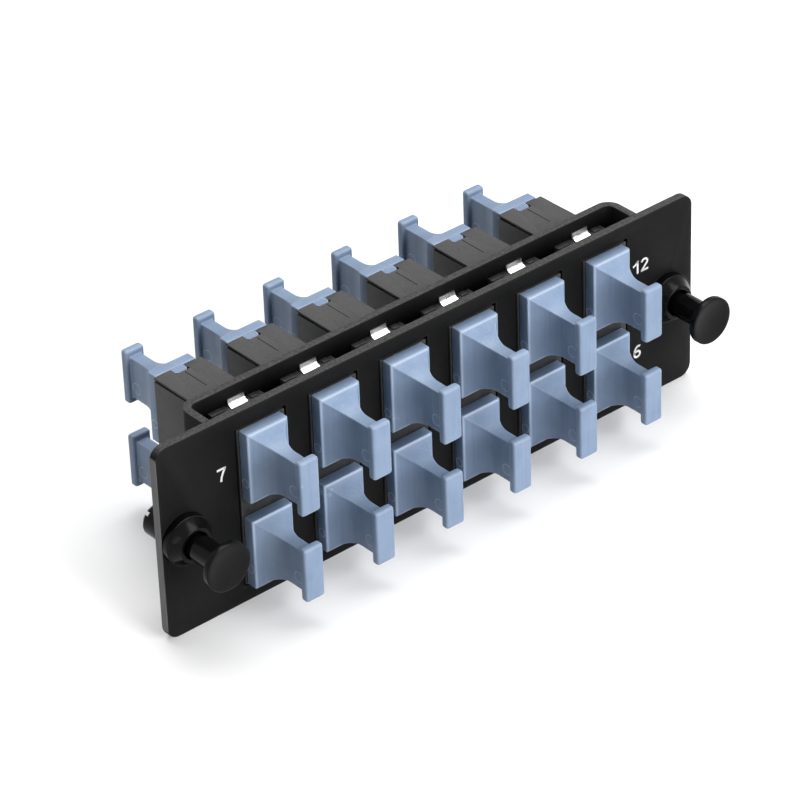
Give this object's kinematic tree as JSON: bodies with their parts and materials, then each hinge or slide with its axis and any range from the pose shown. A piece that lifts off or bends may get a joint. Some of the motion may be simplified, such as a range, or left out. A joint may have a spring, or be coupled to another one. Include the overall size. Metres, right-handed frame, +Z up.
{
  "type": "fibre adapter panel",
  "caption": "Flat panel with a row of two-port fibre adapters held in a folded rear bracket, dust caps in both ends of every port and a push-pull latch at each end.",
  "frame": {"origin": "on the surface under the bottom edges, midway along the plate and midway between the front and rear cap grips", "axes": "+X along the plate to the right seen from the front, +Y from the front of the panel to the back, +Z up"},
  "size_m": [0.11, 0.0442, 0.0346],
  "materials": {
    "panel_steel": "black powder coat, fine satin texture",
    "adapter_plastic": "charcoal moulded plastic, fine matte grain",
    "insert_plastic": "black moulded plastic",
    "cap_plastic": "slate blue soft moulded plastic, satin",
    "clip_steel": "bright spring steel",
    "latch_nylon": "black nylon, semi-gloss"
  },
  "bodies": {
    "panel": {"faceplate": "panel_steel", "rear_bracket": "panel_steel", "left_latch_grommet": "latch_nylon", "right_latch_grommet": "latch_nylon", "adapter_1": "adapter_plastic", "adapter_clip_1": "clip_steel", "port_insert_7": "insert_plastic", "port_insert_1": "insert_plastic", "adapter_2": "adapter_plastic", "adapter_clip_2": "clip_steel", "port_insert_8": "insert_plastic", "port_insert_2": "insert_plastic", "adapter_3": "adapter_plastic", "adapter_clip_3": "clip_steel", "port_insert_9": "insert_plastic", "port_insert_3": "insert_plastic", "adapter_4": "adapter_plastic", "adapter_clip_4": "clip_steel", "port_insert_10": "insert_plastic", "port_insert_4": "insert_plastic", "adapter_5": "adapter_plastic", "adapter_clip_5": "clip_steel", "port_insert_11": "insert_plastic", "port_insert_5": "insert_plastic", "adapter_6": "adapter_plastic", "adapter_clip_6": "clip_steel", "port_insert_12": "insert_plastic", "port_insert_6": "insert_plastic"},
    "front_cap_7": {"front_cap_7": "cap_plastic"},
    "rear_cap_7": {"rear_cap_7": "cap_plastic"},
    "front_cap_1": {"front_cap_1": "cap_plastic"},
    "rear_cap_1": {"rear_cap_1": "cap_plastic"},
    "front_cap_8": {"front_cap_8": "cap_plastic"},
    "rear_cap_8": {"rear_cap_8": "cap_plastic"},
    "front_cap_2": {"front_cap_2": "cap_plastic"},
    "rear_cap_2": {"rear_cap_2": "cap_plastic"},
    "front_cap_9": {"front_cap_9": "cap_plastic"},
    "rear_cap_9": {"rear_cap_9": "cap_plastic"},
    "front_cap_3": {"front_cap_3": "cap_plastic"},
    "rear_cap_3": {"rear_cap_3": "cap_plastic"},
    "front_cap_10": {"front_cap_10": "cap_plastic"},
    "rear_cap_10": {"rear_cap_10": "cap_plastic"},
    "front_cap_4": {"front_cap_4": "cap_plastic"},
    "rear_cap_4": {"rear_cap_4": "cap_plastic"},
    "front_cap_11": {"front_cap_11": "cap_plastic"},
    "rear_cap_11": {"rear_cap_11": "cap_plastic"},
    "front_cap_5": {"front_cap_5": "cap_plastic"},
    "rear_cap_5": {"rear_cap_5": "cap_plastic"},
    "front_cap_12": {"front_cap_12": "cap_plastic"},
    "rear_cap_12": {"rear_cap_12": "cap_plastic"},
    "front_cap_6": {"front_cap_6": "cap_plastic"},
    "rear_cap_6": {"rear_cap_6": "cap_plastic"},
    "left_plunger": {"left_latch_plunger": "latch_nylon"},
    "right_plunger": {"right_latch_plunger": "latch_nylon"}
  },
  "joints": [
    {"name": "front_cap_7_pull", "type": "slide", "parent": "panel", "child": "front_cap_7", "axis": [0, -1, 0], "range_m": [0, 0.02]},
    {"name": "rear_cap_7_pull", "type": "slide", "parent": "panel", "child": "rear_cap_7", "axis": [0, 1, 0], "range_m": [0, 0.02]},
    {"name": "front_cap_1_pull", "type": "slide", "parent": "panel", "child": "front_cap_1", "axis": [0, -1, 0], "range_m": [0, 0.02]},
    {"name": "rear_cap_1_pull", "type": "slide", "parent": "panel", "child": "rear_cap_1", "axis": [0, 1, 0], "range_m": [0, 0.02]},
    {"name": "front_cap_8_pull", "type": "slide", "parent": "panel", "child": "front_cap_8", "axis": [0, -1, 0], "range_m": [0, 0.02]},
    {"name": "rear_cap_8_pull", "type": "slide", "parent": "panel", "child": "rear_cap_8", "axis": [0, 1, 0], "range_m": [0, 0.02]},
    {"name": "front_cap_2_pull", "type": "slide", "parent": "panel", "child": "front_cap_2", "axis": [0, -1, 0], "range_m": [0, 0.02]},
    {"name": "rear_cap_2_pull", "type": "slide", "parent": "panel", "child": "rear_cap_2", "axis": [0, 1, 0], "range_m": [0, 0.02]},
    {"name": "front_cap_9_pull", "type": "slide", "parent": "panel", "child": "front_cap_9", "axis": [0, -1, 0], "range_m": [0, 0.02]},
    {"name": "rear_cap_9_pull", "type": "slide", "parent": "panel", "child": "rear_cap_9", "axis": [0, 1, 0], "range_m": [0, 0.02]},
    {"name": "front_cap_3_pull", "type": "slide", "parent": "panel", "child": "front_cap_3", "axis": [0, -1, 0], "range_m": [0, 0.02]},
    {"name": "rear_cap_3_pull", "type": "slide", "parent": "panel", "child": "rear_cap_3", "axis": [0, 1, 0], "range_m": [0, 0.02]},
    {"name": "front_cap_10_pull", "type": "slide", "parent": "panel", "child": "front_cap_10", "axis": [0, -1, 0], "range_m": [0, 0.02]},
    {"name": "rear_cap_10_pull", "type": "slide", "parent": "panel", "child": "rear_cap_10", "axis": [0, 1, 0], "range_m": [0, 0.02]},
    {"name": "front_cap_4_pull", "type": "slide", "parent": "panel", "child": "front_cap_4", "axis": [0, -1, 0], "range_m": [0, 0.02]},
    {"name": "rear_cap_4_pull", "type": "slide", "parent": "panel", "child": "rear_cap_4", "axis": [0, 1, 0], "range_m": [0, 0.02]},
    {"name": "front_cap_11_pull", "type": "slide", "parent": "panel", "child": "front_cap_11", "axis": [0, -1, 0], "range_m": [0, 0.02]},
    {"name": "rear_cap_11_pull", "type": "slide", "parent": "panel", "child": "rear_cap_11", "axis": [0, 1, 0], "range_m": [0, 0.02]},
    {"name": "front_cap_5_pull", "type": "slide", "parent": "panel", "child": "front_cap_5", "axis": [0, -1, 0], "range_m": [0, 0.02]},
    {"name": "rear_cap_5_pull", "type": "slide", "parent": "panel", "child": "rear_cap_5", "axis": [0, 1, 0], "range_m": [0, 0.02]},
    {"name": "front_cap_12_pull", "type": "slide", "parent": "panel", "child": "front_cap_12", "axis": [0, -1, 0], "range_m": [0, 0.02]},
    {"name": "rear_cap_12_pull", "type": "slide", "parent": "panel", "child": "rear_cap_12", "axis": [0, 1, 0], "range_m": [0, 0.02]},
    {"name": "front_cap_6_pull", "type": "slide", "parent": "panel", "child": "front_cap_6", "axis": [0, -1, 0], "range_m": [0, 0.02]},
    {"name": "rear_cap_6_pull", "type": "slide", "parent": "panel", "child": "rear_cap_6", "axis": [0, 1, 0], "range_m": [0, 0.02]},
    {"name": "left_plunger_push", "type": "slide", "parent": "panel", "child": "left_plunger", "axis": [0, 1, 0], "range_m": [0, 0.005]},
    {"name": "right_plunger_push", "type": "slide", "parent": "panel", "child": "right_plunger", "axis": [0, 1, 0], "range_m": [0, 0.005]}
  ]
}
